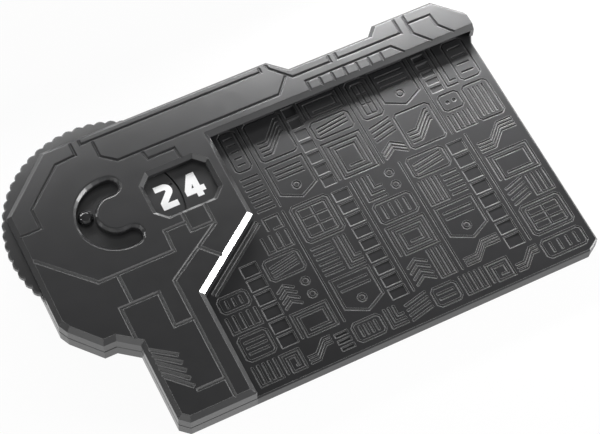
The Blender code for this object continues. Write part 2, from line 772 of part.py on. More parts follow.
SIDE_RELIEF_SHARES = (
    (0.00, 0.07, 0.02, 0.46, "steps", 7),
    (0.00, 0.07, 0.50, 0.98, "framed_steps", 5),
    (0.08, 0.09, 0.02, 1.00, "slats", 1),
    (0.10, 0.25, 0.02, 0.46, "shield", 3),
    (0.10, 0.25, 0.50, 0.98, "framed_stairs", 4),
    (0.26, 0.31, 0.02, 1.00, "rungs", 7),
    (0.32, 0.48, 0.02, 0.46, "maze", 3),
    (0.32, 0.48, 0.50, 0.72, "framed_vents", 3),
    (0.32, 0.48, 0.75, 0.98, "maze", 2),
    (0.49, 0.50, 0.02, 1.00, "slats", 1),
    (0.51, 0.60, 0.02, 0.22, "chevrons", 3),
    (0.51, 0.60, 0.25, 0.46, "vents", 4),
    (0.51, 0.60, 0.50, 0.98, "framed_keys", 2),
    (0.61, 0.76, 0.02, 0.46, "framed_stairs", 4),
    (0.61, 0.76, 0.50, 0.98, "shield", 3),
    (0.77, 0.78, 0.02, 1.00, "slats", 1),
    (0.79, 0.88, 0.02, 0.22, "comb", 5),
    (0.79, 0.88, 0.25, 0.46, "framed_bolts", 2),
    (0.79, 0.84, 0.50, 0.98, "rungs", 5),
    (0.85, 0.90, 0.50, 0.98, "hooks", 2),
    (0.89, 1.00, 0.02, 0.46, "framed_slats", 4),
    (0.91, 1.00, 0.50, 0.98, "framed_steps", 4),
)


def pad_relief():
    """All the relief's outlines: two zones of fields, and two lines along the housing's brow."""
    art = Relief()
    side = PAD_RIGHT - RELIEF_BORDER
    front_zone = (LEG_RIGHT + RELIEF_BORDER, FRONT + RELIEF_BORDER, side, BROW_TOP - RELIEF_WEB)
    side_zone = (HOUSING_RIGHT + RELIEF_BORDER, BROW_TOP, side, RAIL_FRONT + RELIEF_BORDER)
    for zone, fields in ((front_zone, FRONT_RELIEF_SHARES), (side_zone, SIDE_RELIEF_SHARES)):
        for left, right, low, high, kind, count in fields:
            draw_motif(art, kind, (*place(zone, (left, low)), *place(zone, (right, high))), count)
    foot = Vector((LEG_RIGHT, LEG_INNER_TOP))
    brow = Vector((HOUSING_RIGHT, BROW_TOP))
    along = (brow - foot).normalized()
    aside = Vector((along.y, -along.x))
    for index in (1, 2):
        shift = aside * RELIEF_BORDER * index / 2
        path = [foot + along * RELIEF_BORDER + shift, brow + shift]
        art.cuts[0].append(ribbon(path, RELIEF_LINE))
    return art


def carve_relief(tray):
    art = pad_relief()
    low = TRAY_HEIGHT - RELIEF_DEPTH
    sunk = [(RELIEF_SLOPE, low), (0, TRAY_HEIGHT), (0, TRAY_HEIGHT + OVERRUN)]
    raised = [(-RELIEF_SLOPE, low - RELIEF_ROOT), (-RELIEF_SLOPE, low), (0, TRAY_HEIGHT)]
    for level in range(2):
        cuts = sloped_prisms(f"relief_cuts_{level + 1}", art.cuts[level], sunk)
        boolean(tray, cuts, crossing=True)
        islands = sloped_prisms(f"relief_islands_{level + 1}", art.islands[level], raised)
        boolean(tray, islands, "UNION", crossing=True)


def rib_pockets():
    """Square pockets cored out under the pad, leaving a grid of ribs."""
    left = LEG_RIGHT + POCKET_BORDER
    right = PAD_RIGHT - POCKET_BORDER
    low = FRONT + POCKET_BORDER
    high = RAIL_FRONT
    wide = (right - left + RIB_THICKNESS) / POCKET_COLUMNS
    tall = (high - low + RIB_THICKNESS) / POCKET_ROWS
    pockets = []
    for column in range(POCKET_COLUMNS):
        for row in range(POCKET_ROWS):
            x = left + wide * column
            y = low + tall * row
            under_housing = x < HOUSING_RIGHT and y + tall > LEG_INNER_TOP
            if not under_housing:
                pockets.append(rect(x, y, x + wide - RIB_THICKNESS, y + tall - RIB_THICKNESS))
    return pockets


def spring_box(centre, angle, grow):
    """Rectangle that a click spring fills, seen from above, grown on every side."""
    along = Vector(polar(1.0, angle + 90, (0, 0)))
    aside = Vector(polar(1.0, angle, (0, 0)))
    half_long = along * (SPRING_LENGTH / 2 + grow)
    half_wide = aside * (SPRING_WIDTH / 2 + grow)
    middle = Vector(centre)
    return [
        tuple(middle - half_long - half_wide),
        tuple(middle + half_long - half_wide),
        tuple(middle + half_long + half_wide),
        tuple(middle - half_long + half_wide),
    ]


def make_tray(finish):
    outline = tray_outline()
    rings = [
        (outline, 0),
        (outline, TRAY_HEIGHT - TRAY_CHAMFER),
        (offset_outline(outline, -TRAY_CHAMFER), TRAY_HEIGHT),
    ]
    tray = stack("lower_tray", rings, finish)
    carve_relief(tray)
    boolean(tray, prisms("rib_pockets", rib_pockets(), -OVERRUN, TRAY_HEIGHT - PAD_FLOOR))
    shanks = [circle(spot, SCREW_RADIUS + SCREW_CLEARANCE) for _, spot in screw_places()]
    heads = [circle(spot, SCREW_HEAD_RADIUS + SCREW_CLEARANCE) for _, spot in screw_places()]
    boolean(tray, prisms("screw_ways", shanks, -OVERRUN, TRAY_HEIGHT + OVERRUN))
    seat = SCREW_SINK + SCREW_HEAD_HEIGHT + SCREW_CLEARANCE
    boolean(tray, prisms("screw_seats", heads, -OVERRUN, seat))
    floor = spring_floor()
    spot = polar(UNITS_CLICK_RADIUS, UNITS_CLICK_ANGLE)
    way = spring_box(spot, UNITS_CLICK_ANGLE, SPRING_CLEARANCE)
    bed = prisms("units_spring_bed", [way], floor, TRAY_HEIGHT + OVERRUN)
    hole = spring_screw_hole(UNITS_CLICK_RADIUS, UNITS_CLICK_ANGLE)
    deep = floor - SPRING_SCREW_LENGTH
    boolean(bed, prisms("units_spring_hole", [hole], deep, TRAY_HEIGHT), "UNION")
    return boolean(tray, bed)


def spring_floor():
    """Height of the tray under the units click spring, whose bump ends just below the wheel."""
    return WHEEL_BOTTOM - SPRING_CLEARANCE - SPRING_BUMP - SPRING_THICKNESS - SPRING_CLEARANCE


def spring_roof():
    """Height of the housing's inner face over the tens click spring."""
    return WHEEL_TOP + SPRING_CLEARANCE + SPRING_BUMP + SPRING_THICKNESS + SPRING_CLEARANCE


def spring_screw_place(radius, angle):
    """The fastened end of a click spring."""
    reach = SPRING_LENGTH / 2 - SPRING_SCREW_INSET
    along = Vector(polar(reach, angle + 90, (0, 0)))
    return tuple(Vector(polar(radius, angle)) + along)


def spring_screw_hole(radius, angle):
    return circle(spring_screw_place(radius, angle), SPRING_SCREW_RADIUS + SPRING_CLEARANCE)


def bevel_outline(outline):
    """Top line of the housing's bevelled edge; the rail's right end has no bevel."""
    moved = [Vector(point) for point in offset_outline(outline, -EDGE_CHAMFER)]
    corners = [Vector(point) for point in outline]
    for index, corner in enumerate(corners):
        before, after = corners[index - 1], corners[(index + 1) % len(corners)]
        if abs(corner.x - RIGHT) < SEAM_GAP:
            other = after if abs(before.x - RIGHT) < SEAM_GAP else before
            moved[index] = line_crossing(moved[index], other - corner, corner, Vector((0, 1)))
    return [tuple(point) for point in moved]


def make_housing(finish):
    outline = counter_clockwise(housing_outline())
    rings = [
        (outline, HOUSING_BOTTOM),
        (outline, HOUSING_TOP - EDGE_CHAMFER),
        (bevel_outline(outline), HOUSING_TOP),
    ]
    housing = stack("upper_housing", rings, finish)
    slot = rect(HOUSING_RIGHT, RAIL_FRONT - OVERRUN, RIGHT - SLOT_END_WALL, SLOT_BACK)
    boolean(housing, prisms("card_slot", [slot], HOUSING_BOTTOM - OVERRUN, SLOT_TOP))
    below = HOUSING_BOTTOM - OVERRUN
    centre = (DIAL_X, DIAL_Y)
    dial_room = circle(centre, WHEEL_RADIUS + WHEEL_CLEARANCE, ROUND_STEPS)
    hub_post = circle(centre, HUB_RADIUS, BORE_STEPS)
    room = prisms("dial_room", [dial_room], below, WHEEL_ROOF)
    boolean(room, prisms("hub_post", [hub_post], below - OVERRUN, WHEEL_ROOF + OVERRUN))
    boolean(housing, room)
    boolean(housing, finger_slot_cutter())
    boolean(housing, window_cutter())
    for cutter in panel_line_cutters():
        boolean(housing, cutter)
    holes = [circle(spot, SCREW_RADIUS + SCREW_CLEARANCE) for _, spot in screw_places()]
    boolean(housing, prisms("screw_bosses", holes, below, screw_tip() + SCREW_CLEARANCE))
    spot = polar(TENS_CLICK_RADIUS, TENS_CLICK_ANGLE)
    bed = spring_box(spot, TENS_CLICK_ANGLE, SPRING_CLEARANCE)
    boolean(housing, prisms("tens_spring_bed", [bed], WHEEL_ROOF - OVERRUN, spring_roof()))
    hole = spring_screw_hole(TENS_CLICK_RADIUS, TENS_CLICK_ANGLE)
    high = spring_roof() + SPRING_SCREW_LENGTH - SPRING_THICKNESS
    boolean(housing, prisms("tens_spring_hole", [hole], spring_roof() - OVERRUN, high))
    return housing


def scallop_outline(inset):
    """Rim of the wheel: round bumps with sharp valleys between them."""
    count = SCALLOPS * SCALLOP_POINTS
    points = []
    for step in range(count):
        angle = 360 * step / count
        dip = SCALLOP_DEPTH * (1 - abs(math.sin(math.radians(angle) * SCALLOPS / 2)))
        points.append(polar(WHEEL_RADIUS - dip - inset, angle))
    return points


def dimples(radius, angle, count):
    """Click dimples at even steps, so that each digit stops in the middle of the window."""
    return [
        circle(polar(radius, angle + 360 * step / count), DIMPLE_RADIUS, SMALL_STEPS // 2)
        for step in range(count)
    ]


def make_units_wheel(finish):
    rings = [
        (scallop_outline(0), WHEEL_BOTTOM),
        (scallop_outline(0), WHEEL_TOP - WHEEL_EDGE),
        (scallop_outline(WHEEL_EDGE), WHEEL_TOP),
    ]
    wheel = stack("units_wheel", rings, finish)
    place_at_axis(wheel)
    centre = (DIAL_X, DIAL_Y)
    pocket = circle(centre, DISC_RADIUS + DISC_CLEARANCE, ROUND_STEPS)
    floor = DISC_BOTTOM - DISC_CLEARANCE
    boolean(wheel, prisms("disc_pocket", [pocket], floor, WHEEL_TOP + OVERRUN))
    bore = circle(centre, HUB_RADIUS + HUB_CLEARANCE, BORE_STEPS)
    boolean(wheel, prisms("wheel_bore", [bore], WHEEL_BOTTOM - OVERRUN, WHEEL_TOP + OVERRUN))
    start = spring_bump_angle(UNITS_CLICK_RADIUS, UNITS_CLICK_ANGLE)
    pits = dimples(UNITS_CLICK_RADIUS, start, UNITS_ROUND)
    boolean(wheel, prisms("wheel_dimples", pits, WHEEL_BOTTOM - OVERRUN, WHEEL_BOTTOM + DIMPLE_DEPTH))
    return wheel


def spring_bump_angle(radius, angle):
    """Angle about the dial's axis at which a click spring's bump lies."""
    reach = SPRING_LENGTH / 2 - SPRING_BUMP_INSET
    return angle - math.degrees(math.atan2(reach, radius))


def place_at_axis(item):
    """Moves an object's origin to the dials' axis and leaves its shape where it is."""
    shift = Vector((DIAL_X, DIAL_Y, 0))
    item.data.transform(Matrix.Translation(-shift))
    item.location = shift


def make_tens_disc(finish):
    centre = (DIAL_X, DIAL_Y)
    edge = circle(centre, DISC_RADIUS, ROUND_STEPS)
    disc = prisms("tens_disc", [edge], DISC_BOTTOM, WHEEL_TOP, finish)
    place_at_axis(disc)
    bore = circle(centre, HUB_RADIUS + HUB_CLEARANCE, BORE_STEPS)
    boolean(disc, prisms("disc_bore", [bore], DISC_BOTTOM - OVERRUN, WHEEL_TOP + OVERRUN))
    hole = circle(polar(FINGER_RADIUS, FINGER_REST_ANGLE), PEG_STEM_RADIUS + PEG_FIT)
    boolean(disc, prisms("peg_hole", [hole], DISC_BOTTOM - OVERRUN, WHEEL_TOP + OVERRUN))
    start = spring_bump_angle(TENS_CLICK_RADIUS, TENS_CLICK_ANGLE)
    pits = dimples(TENS_CLICK_RADIUS, start, TENS_ROUND)
    boolean(disc, prisms("disc_dimples", pits, WHEEL_TOP - DIMPLE_DEPTH, WHEEL_TOP + OVERRUN))
    return disc


def make_finger_peg(finish):
    """Domed finger peg with a stem that is pressed into the tens disc."""
    centre = polar(FINGER_RADIUS, FINGER_REST_ANGLE)
    seat = WHEEL_TOP + PEG_FIT
    shoulder = seat + PEG_SIDE_HEIGHT
    steps = PEG_STEPS
    rings = [
        (circle(centre, PEG_STEM_RADIUS, steps), DISC_BOTTOM),
        (circle(centre, PEG_STEM_RADIUS, steps), seat),
        (circle(centre, PEG_RADIUS, steps), seat),
    ]
    for step in range(DOME_STEPS):
        turn = math.pi / 2 * step / DOME_STEPS
        height = shoulder + PEG_DOME_HEIGHT * math.sin(turn)
        rings.append((circle(centre, PEG_RADIUS * math.cos(turn), steps), height))
    shape = bmesh.new()
    crown = add_stack(shape, rings)
    tip = bmesh.ops.poke(shape, faces=[crown])["verts"][0]
    tip.co.z = shoulder + PEG_DOME_HEIGHT
    peg = finish_object("finger_peg", shape, finish)
    place_at_axis(peg)
    return peg


def make_click_spring(name, radius, angle, base, up, finish):
    """Flat strip with a V-shaped bump near its free end; up is 1 or -1."""
    half = SPRING_LENGTH / 2
    bump = -half + SPRING_BUMP_INSET
    line = [
        (half, 0),
        (bump + SPRING_BUMP_LENGTH / 2, 0),
        (bump, SPRING_BUMP),
        (bump - SPRING_BUMP_LENGTH / 2, 0),
        (-half, 0),
    ]
    section = line + [(x, z + SPRING_THICKNESS) for x, z in line[::-1]]
    along = Vector((*polar(1.0, angle + 90, (0, 0)), 0))
    aside = Vector((*polar(1.0, angle, (0, 0)), 0))
    middle = Vector((*polar(radius, angle), base))
    shape = bmesh.new()
    loops = []
    for side in (-1, 1):
        shift = middle + aside * side * SPRING_WIDTH / 2
        loops.append([shape.verts.new(shift + along * x + Vector((0, 0, z * up))) for x, z in section])
    for index in range(len(section)):
        nxt = (index + 1) % len(section)
        shape.faces.new((loops[0][index], loops[0][nxt], loops[1][nxt], loops[1][index]))
    shape.faces.new(loops[0][::-1])
    shape.faces.new(loops[1])
    bmesh.ops.recalc_face_normals(shape, faces=shape.faces)
    spring = finish_object(name, shape, finish)
    hole = spring_screw_hole(radius, angle)
    boolean(spring, prisms(name + "_hole", [hole], base - OVERRUN, base + OVERRUN))
    return spring


def make_spring_screw(name, radius, angle, base, up, finish):
    """Small cap screw that holds a click spring; its head lies on the strip."""
    centre = spring_screw_place(radius, angle)
    under = base + up * (SPRING_THICKNESS + SPRING_CLEARANCE)
    top = under + up * SPRING_SCREW_HEAD_HEIGHT
    tip = base - up * (SPRING_SCREW_LENGTH - SPRING_SCREW_HEAD_HEIGHT)
    rings = [
        (circle(centre, SPRING_SCREW_RADIUS), tip),
        (circle(centre, SPRING_SCREW_RADIUS), under),
        (circle(centre, SPRING_SCREW_HEAD), under),
        (circle(centre, SPRING_SCREW_HEAD), top),
    ]
    return stack(name, rings if up > 0 else rings[::-1], finish)


def screw_tip():
    return TRAY_HEIGHT + SCREW_REACH


def make_housing_screw(name, centre, finish):
    """Self-tapping screw from below, with a cross recess in its flat head."""
    seat = SCREW_SINK + SCREW_HEAD_HEIGHT
    rings = [
        (circle(centre, SCREW_HEAD_RADIUS, SCREW_STEPS), SCREW_SINK),
        (circle(centre, SCREW_HEAD_RADIUS, SCREW_STEPS), seat),
        (circle(centre, SCREW_RADIUS, SCREW_STEPS), seat),
        (circle(centre, SCREW_RADIUS, SCREW_STEPS), screw_tip() - SCREW_RADIUS),
        (circle(centre, SCREW_RADIUS / 2, SCREW_STEPS), screw_tip()),
    ]
    screw = stack(name, rings, finish)
    x, y = centre
    long, thin = CROSS_LENGTH / 2, CROSS_WIDTH / 2
    cross = [
        (x + long, y - thin), (x + long, y + thin), (x + thin, y + thin), (x + thin, y + long),
        (x - thin, y + long), (x - thin, y + thin), (x - long, y + thin), (x - long, y - thin),
        (x - thin, y - thin), (x - thin, y - long), (x + thin, y - long), (x + thin, y - thin),
    ]
    boolean(screw, prisms(name + "_cross", [cross], SCREW_SINK - OVERRUN, SCREW_SINK + CROSS_DEPTH))
    return screw


def main():
    clear_scene()
    shell = plastic("shell_plastic", (0.055, 0.056, 0.058), 0.30)
    dial = plastic("dial_plastic", (0.045, 0.045, 0.047), 0.34)
    peg = plastic("peg_plastic", (0.020, 0.020, 0.021), 0.18)
    steel = plastic("zinc_steel", (0.50, 0.50, 0.51), 0.35, 1.0)
    spring_steel = plastic("spring_steel", (0.42, 0.42, 0.43), 0.30, 1.0)
    make_tray(shell)
    make_housing(shell)
    make_units_wheel(dial)
    make_tens_disc(dial)
    make_finger_peg(peg)
    for name, spot in screw_places():
        make_housing_screw(name, spot, steel)
    units = (UNITS_CLICK_RADIUS, UNITS_CLICK_ANGLE, spring_floor() + SPRING_CLEARANCE, 1)
    tens = (TENS_CLICK_RADIUS, TENS_CLICK_ANGLE, spring_roof() - SPRING_CLEARANCE, -1)
    for dial_name, seat in (("units", units), ("tens", tens)):
        make_click_spring(dial_name + "_click_spring", *seat, spring_steel)
        make_spring_screw(dial_name + "_spring_screw", *seat, steel)


main()
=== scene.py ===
"""Looks of the damage counter pad: moulded plastic, printed digits, floor, lamps and camera.

Metres and degrees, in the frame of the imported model: +Z up, the rail along +X at the back.
"""
import json
import math

import bmesh
import bpy
from mathutils import Matrix, Vector


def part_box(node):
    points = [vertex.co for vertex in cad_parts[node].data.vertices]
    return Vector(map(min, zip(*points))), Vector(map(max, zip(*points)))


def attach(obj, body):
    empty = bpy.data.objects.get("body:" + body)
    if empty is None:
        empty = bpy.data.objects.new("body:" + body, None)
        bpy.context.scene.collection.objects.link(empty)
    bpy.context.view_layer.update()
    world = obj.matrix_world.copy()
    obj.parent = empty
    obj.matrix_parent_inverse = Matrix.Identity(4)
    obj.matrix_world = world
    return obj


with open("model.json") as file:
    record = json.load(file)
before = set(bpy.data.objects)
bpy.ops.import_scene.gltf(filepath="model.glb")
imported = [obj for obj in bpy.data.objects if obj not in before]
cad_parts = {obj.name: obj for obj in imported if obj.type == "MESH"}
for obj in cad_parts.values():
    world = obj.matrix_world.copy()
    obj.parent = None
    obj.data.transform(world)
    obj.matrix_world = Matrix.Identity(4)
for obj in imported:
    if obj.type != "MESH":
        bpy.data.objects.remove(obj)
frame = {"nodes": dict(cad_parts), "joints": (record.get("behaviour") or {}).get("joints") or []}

# Camera
CAMERA_PLACE = (-0.1750, -0.3238, 0.6651)
CAMERA_TARGET = (0.0049, -0.0029, 0.0)
CAMERA_ROLL = 3.13
CAMERA_LENS = 122.3
CAMERA_NEAR = 0.01
SENSOR_WIDTH = 36.0

# Printed digits: the box, stroke and corners of one digit, and the height of the print
DIGIT_HEIGHT = 0.0106
DIGIT_WIDTH = 0.0064
DIGIT_STROKE = 0.0025
DIGIT_BEND = 0.0018
PRINT_THICKNESS = 0.00003
PRINT_LAYER = 0.000005
ARC_STEP = 15.0
SAME_POINT_SHARE = 0.01
PARALLEL_LIMIT = 1e-6

# Rings that the digits lie on, and the digit of each that the window shows at rest
TENS_PRINT_RADIUS = 0.0201
UNITS_PRINT_RADIUS = 0.0307
TENS_SHOWN = 2
UNITS_SHOWN = 4
TENS_COUNT = 6
UNITS_COUNT = 10
TENS_PITCH = 40.0
UNITS_PITCH = 36.0

# Colour and roughness of each finish
SHELL_SHADE = (0.016, 0.016, 0.017)
SHELL_ROUGHNESS = 0.37
# the dials' black is lighter than the shells' partly as their own tone and partly as painted light,
# standing in for light that the deep window and slot keep from them
DIAL_SHADE = (0.030, 0.030, 0.031)
DIAL_ROUGHNESS = 0.30
PEG_SHADE = (0.012, 0.012, 0.013)
PEG_ROUGHNESS = 0.15
ZINC_SHADE = (0.50, 0.50, 0.51)
ZINC_ROUGHNESS = 0.30
SPRING_SHADE = (0.42, 0.42, 0.43)
SPRING_ROUGHNESS = 0.24
PAINT_DARK = (0.86, 0.86, 0.86)
PAINT_LIGHT = (0.90, 0.90, 0.90)
PAINT_ROUGHNESS = 0.55

# Plastic: gloss of its skin, faint flow marks in its shade, and faint patches in its roughness
PLASTIC_SPECULAR = 0.7
PLASTIC_COAT = 0.7
COAT_ROUGHNESS = 0.07
FLOW_SIZE = 0.03
FLOW_DETAIL = 3.0
FLOW_DARK = 0.85
FLOW_LIGHT = 1.15
PATCH_SIZE = 0.006
PATCH_DETAIL = 4.0
PATCH_SPREAD = 0.02

# Mottling of the plated steel and of the print
STEEL_MOTTLE_SIZE = 0.0012
STEEL_MOTTLE_DETAIL = 4.0
STEEL_DARK = 0.82
STEEL_ROUGHNESS_SPREAD = 0.12
PAINT_MOTTLE_SIZE = 0.0006
PAINT_MOTTLE_DETAIL = 3.0

# Middle range of every noise, which flow marks, patches and mottling use in full
NOISE_LOW = 0.3
NOISE_HIGH = 0.7

# Grain of the surfaces
GRAIN_DEPTH = 0.00001
PLASTIC_GRAIN_SIZE = 0.0003
PLASTIC_GRAIN_DETAIL = 1.0
PLASTIC_GRAIN_STRENGTH = 0.12
FINE_GRAIN_SIZE = 0.0002
FINE_GRAIN_DETAIL = 2.0
FINE_GRAIN_STRENGTH = 0.1

# Roundness of the edges on each kind of piece
SHELL_EDGE = 0.0003
DIAL_EDGE = 0.0002
PEG_EDGE = 0.0008
SCREW_EDGE = 0.0001
EDGE_SAMPLES = 8

# Reach around the tens spring's screw in which nothing is rounded: the roof over its blind hole is
# thinner than the rounding
THIN_ROOF_REACH = 0.0020

# Even bevel of the finger slot: its reach from the dials' axis, its right end, and the upward parts
# of the rounded normal at which the bevel starts and is full, below the top and above the wall
SLOT_RIM_REACH = 0.0175
SLOT_RIM_RIGHT = 0.0090
SLOT_TOP_START = 0.985
SLOT_TOP_FULL = 0.95
SLOT_WALL_START = 0.10
SLOT_WALL_FULL = 0.25

# Share of the pale painted highlight on the shells' rims and walls, from little at the rail to full at the
# front, and the tone that paints it
HIGHLIGHT_FROM_Y = 0.042
HIGHLIGHT_FULL_Y = -0.002
HIGHLIGHT_LEAST = 0.10
PAINTED_HIGHLIGHT_TONE = (0.34, 0.34, 0.34)

# Painted highlight on the rims of flat tops: width, and how far the rounding has turned the normal away
PAINTED_RIM_WIDTH = 0.0004
PAINTED_RIM_START = 0.992
PAINTED_RIM_FULL = 0.94
FLAT_TOP_RISE = 0.9

# Matt walls of panel lines and relief: upward part of their normals, the gloss the walls keep, and the
# share of pale painted highlight in their colour
LINE_WALL_RISE = 0.768
RELIEF_WALL_RISE = 0.600
WALL_RISE_BAND = 0.03
WALL_GLOSS_SHARE = 0.30
LINE_HIGHLIGHT_SHARE = 0.24
RELIEF_HIGHLIGHT_SHARE = 0.08

# Matt bevels of the dial window: its front sill and its back left corner, by the normal's part
# towards the back
WINDOW_MIDDLE_RADIUS = 0.0254
WINDOW_REACH = 0.0165
SILL_TURN = 0.707
CORNER_TURN = -0.5

# Pad of the tray: its top, its left end, and the share of its gloss that use has taken between two
# places from the rail to the front
PAD_HIGH = 0.0062
PAD_LEFT = -0.0425
PAD_DULL_FROM_Y = 0.040
PAD_DULL_FULL_Y = -0.060
PAD_DULL_LEAST = 0.16
PAD_DULL_MOST = 0.50

# Floor: levels are those of plain white at 1
FLOOR_SIZE = 6.0
FLOOR_DROP = 0.00005
FLOOR_TONE = 0.80
FLOOR_ROUGHNESS = 0.9
FLOOR_GLOW_SHARE = 0.95
FLOOR_REFLECTED_LEVEL = 0.74

# Room: a wall that is bright on one side, under a dim ceiling; heights as the rise of a direction
ROOM_WALL_TOP = 0.38
ROOM_CEILING_START = 0.75
ROOM_DARK_WALL = 0.08
ROOM_BRIGHT_WALL = 0.46
ROOM_BRIGHT_SIDE = (-0.1, -0.99, 0.0)
ROOM_SIDE_START = -0.3
ROOM_SIDE_FULL = 0.6
ROOM_CEILING_LEVEL = 0.18

# Low strip lamp behind the rail, brightest at its right end: middle, length and brightness of
# each stretch
KEY_DISTANCE = 0.1037
KEY_RISE = 0.0519
KEY_HEIGHT = 0.014
KEY_SPREAD = 90.0
KEY_STRETCHES = (
    (-0.080, 0.12, 5.3),
    (0.000, 0.04, 9.5),
    (0.040, 0.04, 21.0),
    (0.100, 0.08, 37.0),
    (0.160, 0.04, 64.0),
)

# Far lamps: compass direction, height above the table, width and height in degrees, brightness
FAR_DISTANCE = 1.0
FAR_LAMPS = (
    ("side_card", 124, 12, 20, 9, 90.0),
    ("right_strip", 76, 11, 44, 8, 4.0),
    ("left_spot", 280, 24, 4, 4, 90.0),
    ("front_card", 236, 27, 34, 14, 1.2),
)

# Soft fill from the camera's side, which leaves no highlight
FILL_LAMP = ("front_fill", 210, 62, 20, 20, 4.5)


def joint_place(name):
    for joint in frame["joints"]:
        if joint["name"] == name:
            return Vector(joint["pos_m"])
    raise KeyError(name)


def new_material(name):
    material = bpy.data.materials.new(name)
    material.use_nodes = True
    return material, material.node_tree, material.node_tree.nodes["Principled BSDF"]


def feed(tree, socket, source):
    """Gives a socket another node's output, or a plain value."""
    if isinstance(source, bpy.types.NodeSocket):
        tree.links.new(source, socket)
    else:
        socket.default_value = source


def calculate(tree, kind, *sources):
    """Result of one sum on numbers, each a plain value or another node's output."""
    step = tree.nodes.new("ShaderNodeMath")
    step.operation = kind
    for socket, source in zip(step.inputs, sources):
        feed(tree, socket, source)
    return step.outputs["Value"]


def calculate_vector(tree, kind, *sources):
    """Result of one sum on vectors: a number for a distance or a dot product."""
    step = tree.nodes.new("ShaderNodeVectorMath")
    step.operation = kind
    for socket, source in zip(step.inputs, sources):
        feed(tree, socket, source)
    return step.outputs["Value" if kind in ("DISTANCE", "DOT_PRODUCT") else "Vector"]


def product(tree, first, *others):
    for other in others:
        first = calculate(tree, "MULTIPLY", first, other)
    return first


def largest(tree, first, *others):
    for other in others:
        first = calculate(tree, "MAXIMUM", first, other)
    return first


def ramp(tree, source, start, full, low=0.0, high=1.0, form="LINEAR"):
    """Maps the range from start to full to the range from low to high, and holds both ends."""
    step = tree.nodes.new("ShaderNodeMapRange")
    step.interpolation_type = form
    for name, level in (("From Min", start), ("From Max", full), ("To Min", low), ("To Max", high)):
        feed(tree, step.inputs[name], level)
    feed(tree, step.inputs["Value"], source)
    return step.outputs["Result"]


def blend(tree, kind, factor, first, second):
    mix = tree.nodes.new("ShaderNodeMix")
    mix.data_type = kind
    for name, source in (("Factor", factor), ("A", first), ("B", second)):
        feed(tree, mix.inputs[name], source)
    return mix.outputs["Result"]


def spot_on_object(tree):
    return tree.nodes.new("ShaderNodeTexCoord").outputs["Object"]


def split(tree, vector):
    """The three parts of a vector, by the letters of their axes."""
    step = tree.nodes.new("ShaderNodeSeparateXYZ")
    feed(tree, step.inputs["Vector"], vector)
    return step.outputs


def flat_normal(tree):
    """Normal of the face itself, without rounding or grain."""
    return tree.nodes.new("ShaderNodeNewGeometry").outputs["True Normal"]


def rounded_normal(tree, radius):
    rounding = tree.nodes.new("ShaderNodeBevel")
    rounding.samples = EDGE_SAMPLES
    feed(tree, rounding.inputs["Radius"], radius)
    return rounding.outputs["Normal"]


def noise(tree, size, detail):
    """Noise whose features are about the given size, fixed to the object."""
    texture = tree.nodes.new("ShaderNodeTexNoise")
    texture.inputs["Scale"].default_value = 1 / size
    texture.inputs["Detail"].default_value = detail
    feed(tree, texture.inputs["Vector"], spot_on_object(tree))
    return texture.outputs["Fac"]


def mottle(tree, source, low, high):
    """Maps the middle range of a noise to the range from low to high."""
    return ramp(tree, source, NOISE_LOW, NOISE_HIGH, low, high)


def mottle_colour(tree, source, first, second):
    return blend(tree, "RGBA", mottle(tree, source, 0.0, 1.0), (*first, 1.0), (*second, 1.0))


def add_grain(tree, shader, size, detail, strength, normal):
    """Lays fine grain over the given normal."""
    grain = tree.nodes.new("ShaderNodeBump")
    grain.inputs["Distance"].default_value = GRAIN_DEPTH
    grain.inputs["Strength"].default_value = strength
    feed(tree, grain.inputs["Height"], noise(tree, size, detail))
    feed(tree, grain.inputs["Normal"], normal)
    feed(tree, shader.inputs["Normal"], grain.outputs["Normal"])


def add_fine_grain(tree, shader, edge):
    normal = rounded_normal(tree, edge)
    add_grain(tree, shader, FINE_GRAIN_SIZE, FINE_GRAIN_DETAIL, FINE_GRAIN_STRENGTH, normal)


def off_thin_roof(tree):
    """One everywhere but over the blind hole whose end lies close under the top, where it is zero."""
    low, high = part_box("tens_spring_screw")
    middle = (low + high) / 2
    middle.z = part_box("upper_housing")[1].z
    gap = calculate_vector(tree, "DISTANCE", spot_on_object(tree), middle)
    return calculate(tree, "GREATER_THAN", gap, THIN_ROOF_REACH)


def flat_slot_rim(tree, normal):
    """Turns the finger slot's rounded rim into an even bevel at half a right angle."""
    centre = joint_place("tens_turn")
    place = spot_on_object(tree)
    gap = calculate_vector(tree, "DISTANCE", place, centre)
    near = calculate(tree, "LESS_THAN", gap, SLOT_RIM_REACH)
    left = calculate(tree, "LESS_THAN", split(tree, place)["X"], centre.x + SLOT_RIM_RIGHT)
    rise = split(tree, normal)["Z"]
    below_top = ramp(tree, rise, SLOT_TOP_START, SLOT_TOP_FULL)
    above_wall = ramp(tree, rise, SLOT_WALL_START, SLOT_WALL_FULL)
    level = calculate_vector(tree, "MULTIPLY", normal, (1.0, 1.0, 0.0))
    outward = calculate_vector(tree, "NORMALIZE", level)
    slope = calculate_vector(tree, "ADD", outward, (0.0, 0.0, 1.0))
    slanted = calculate_vector(tree, "NORMALIZE", slope)
    return blend(tree, "VECTOR", product(tree, near, left, below_top, above_wall), normal, slanted)


def painted_highlight_share(tree):
    """Share of the painted highlight on rims and walls: little at the rail, full at the front."""
    return ramp(tree, split(tree, spot_on_object(tree))["Y"], HIGHLIGHT_FROM_Y, HIGHLIGHT_FULL_Y, HIGHLIGHT_LEAST)


def painted_rim_highlights(tree, roundable):
    """Painted highlight along the rims of flat tops, where the rounding turns the normal away."""
    face = flat_normal(tree)
    wide = rounded_normal(tree, product(tree, roundable, PAINTED_RIM_WIDTH))
    turn = calculate_vector(tree, "DOT_PRODUCT", face, wide)
    rim = ramp(tree, turn, PAINTED_RIM_START, PAINTED_RIM_FULL)
    flat = calculate(tree, "GREATER_THAN", split(tree, face)["Z"], FLAT_TOP_RISE)
    return product(tree, rim, flat, painted_highlight_share(tree))


